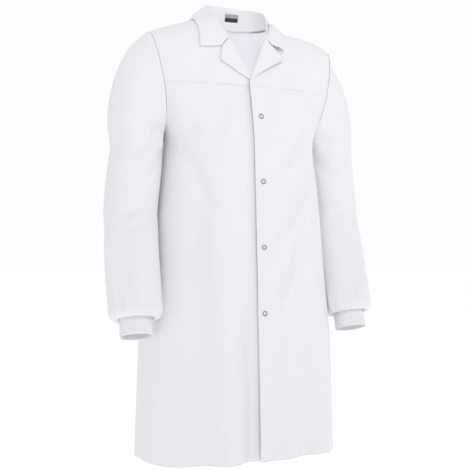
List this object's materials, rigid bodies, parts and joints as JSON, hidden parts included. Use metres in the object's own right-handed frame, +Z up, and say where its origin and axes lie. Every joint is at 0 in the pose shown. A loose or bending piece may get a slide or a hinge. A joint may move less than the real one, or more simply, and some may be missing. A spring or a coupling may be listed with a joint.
{
  "type": "lab coat",
  "caption": "Knee-length white lab coat: notched collar and lapels, front and back yokes, ring snaps down a lapped front, long sleeves gathered into rib-knit cuffs.",
  "frame": {"origin": "centre of the neck opening, at the height where the collar joins the shoulders", "axes": "+Z up along the coat, -Y the front of the coat, +X the wearer's left"},
  "size_m": [0.6696, 0.3, 1.062],
  "materials": {
    "coat_cloth": "plain woven poly-cotton poplin, matt white",
    "rib_knit": "rib-knit cotton, matt white",
    "label": "woven satin label, blank",
    "snap_metal": "nickel-plated brass, polished"
  },
  "bodies": {
    "coat_body": {"back_panel": "coat_cloth", "back_yoke": "coat_cloth", "left_front_yoke": "coat_cloth", "right_front_yoke": "coat_cloth", "left_front_side": "coat_cloth", "right_front_side": "coat_cloth", "left_facing_top": "coat_cloth", "right_facing_top": "coat_cloth", "collar_stand": "coat_cloth", "collar_leaf": "coat_cloth", "neck_label": "label", "top_snap_cap": "snap_metal", "top_snap_socket": "snap_metal", "upper_snap_studs": "snap_metal", "upper_snap_back_rings": "snap_metal"},
    "left_front": {"left_front_flap": "coat_cloth", "left_facing_bottom": "coat_cloth", "lower_snap_caps": "snap_metal", "lower_snap_sockets": "snap_metal"},
    "right_front": {"right_front_flap": "coat_cloth", "right_facing_bottom": "coat_cloth", "lower_snap_studs": "snap_metal", "lower_snap_back_rings": "snap_metal"},
    "left_lapel_fold": {"left_lapel": "coat_cloth"},
    "right_lapel_fold": {"right_lapel": "coat_cloth"},
    "left_upper_arm": {"left_upper_sleeve": "coat_cloth"},
    "right_upper_arm": {"right_upper_sleeve": "coat_cloth"},
    "left_forearm": {"left_lower_sleeve": "coat_cloth", "left_cuff": "rib_knit"},
    "right_forearm": {"right_lower_sleeve": "coat_cloth", "right_cuff": "rib_knit"}
  },
  "joints": [
    {"name": "left_front_open", "type": "hinge", "parent": "coat_body", "child": "left_front", "pos_m": [-0.02241, -0.14452, -0.25], "axis": [-0.3109, -0.0071, 0.9504], "range_deg": [0, 100]},
    {"name": "right_front_open", "type": "hinge", "parent": "coat_body", "child": "right_front", "pos_m": [0.02192, -0.13761, -0.42], "axis": [-0.2877, -0.0184, -0.9575], "range_deg": [0, 70]},
    {"name": "left_lapel_lift", "type": "hinge", "parent": "coat_body", "child": "left_lapel_fold", "pos_m": [-0.0196, -0.1162, -0.15], "axis": [-0.4343, -0.2122, -0.8754], "range_deg": [0, 70]},
    {"name": "right_lapel_lift", "type": "hinge", "parent": "coat_body", "child": "right_lapel_fold", "pos_m": [-0.0204, -0.11619, -0.15], "axis": [-0.4213, 0.2176, 0.8805], "range_deg": [0, 70]},
    {"name": "left_shoulder_raise", "type": "hinge", "parent": "coat_body", "child": "left_upper_arm", "pos_m": [0.2225, -0.004, -0.045], "axis": [0, -1, 0], "range_deg": [0, 65]},
    {"name": "right_shoulder_raise", "type": "hinge", "parent": "coat_body", "child": "right_upper_arm", "pos_m": [-0.2225, -0.004, -0.045], "axis": [0, 1, 0], "range_deg": [0, 65]},
    {"name": "left_elbow_bend", "type": "hinge", "parent": "left_upper_arm", "child": "left_forearm", "pos_m": [0.271, -0.067, -0.45], "axis": [-1, 0, 0], "range_deg": [0, 100]},
    {"name": "right_elbow_bend", "type": "hinge", "parent": "right_upper_arm", "child": "right_forearm", "pos_m": [-0.271, -0.067, -0.45], "axis": [-1, 0, 0], "range_deg": [0, 100]}
  ],
  "couplings": [
    {"joint": "right_front_open", "follows": "left_front_open", "ratio": 0.7}
  ]
}
